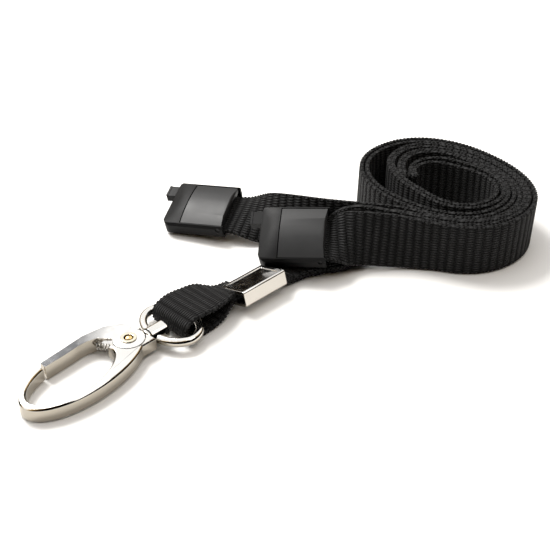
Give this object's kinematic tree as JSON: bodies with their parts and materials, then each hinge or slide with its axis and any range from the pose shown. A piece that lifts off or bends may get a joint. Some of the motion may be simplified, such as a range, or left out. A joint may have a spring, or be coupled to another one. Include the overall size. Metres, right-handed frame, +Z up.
{
  "type": "lanyard",
  "caption": "Flat ribbed strap wound in a loose coil with a clamp-lid breakaway joiner, a metal crimp and a swivelling snap hook with a sprung gate.",
  "frame": {"origin": "middle of the laid-out lanyard's box, on the surface it lies on", "axes": "+X from the hook side towards the coil, +Y away from the hook's point, +Z up"},
  "size_m": [0.0882, 0.0762, 0.0103],
  "materials": {
    "hook_metal": "polished nickel plate",
    "swivel_metal": "polished nickel plate",
    "spring_steel": "drawn steel wire",
    "crimp_metal": "polished plated sheet",
    "webbing": "ribbed woven black polyester",
    "joiner_plastic": "satin black moulding"
  },
  "bodies": {
    "strap_and_joiner": {"strap_coil": "webbing", "strap_tail_a": "webbing", "strap_tail_b": "webbing", "strap_pair": "webbing", "strap_loop": "webbing", "crimp": "crimp_metal", "half_a_body": "joiner_plastic", "half_b_body": "joiner_plastic"},
    "ring": {"swivel_ring": "swivel_metal"},
    "hook": {"hook_body": "hook_metal", "swivel_pin": "swivel_metal", "gate_rivet": "hook_metal", "gate_spring": "spring_steel"},
    "gate": {"hook_gate": "hook_metal"},
    "lid_of_half_a": {"half_a_lid": "joiner_plastic"},
    "lid_of_half_b": {"half_b_lid": "joiner_plastic"}
  },
  "joints": [
    {"name": "ring_tilt", "type": "hinge", "parent": "strap_and_joiner", "child": "ring", "pos_m": [-0.01902, -0.01242, 0.00197], "axis": [-0.7071, 0.7071, 0], "range_deg": [0, 30]},
    {"name": "hook_swivel", "type": "hinge", "parent": "ring", "child": "hook", "pos_m": [-0.02432, -0.01772, 0.00184], "axis": [-0.707, -0.707, -0.0175], "continuous": true},
    {"name": "gate_pivot", "type": "hinge", "parent": "hook", "child": "gate", "pos_m": [-0.02842, -0.02055, 0.00176], "axis": [-0.0123, -0.0123, 0.9998], "range_deg": [0, 22], "stiffness_Nm_per_rad": 0.01, "springref_deg": -20.05, "deforming": ["gate_spring"]},
    {"name": "lid_a", "type": "hinge", "parent": "strap_and_joiner", "child": "lid_of_half_a", "pos_m": [-0.01362, 0.01851, 0.00451], "axis": [0.2805, 0.9294, 0.24], "range_deg": [0, 75]},
    {"name": "lid_b", "type": "hinge", "parent": "strap_and_joiner", "child": "lid_of_half_b", "pos_m": [0.0043, 0.0052, 0.00696], "axis": [0.0923, 0.8983, 0.4296], "range_deg": [0, 75]}
  ]
}
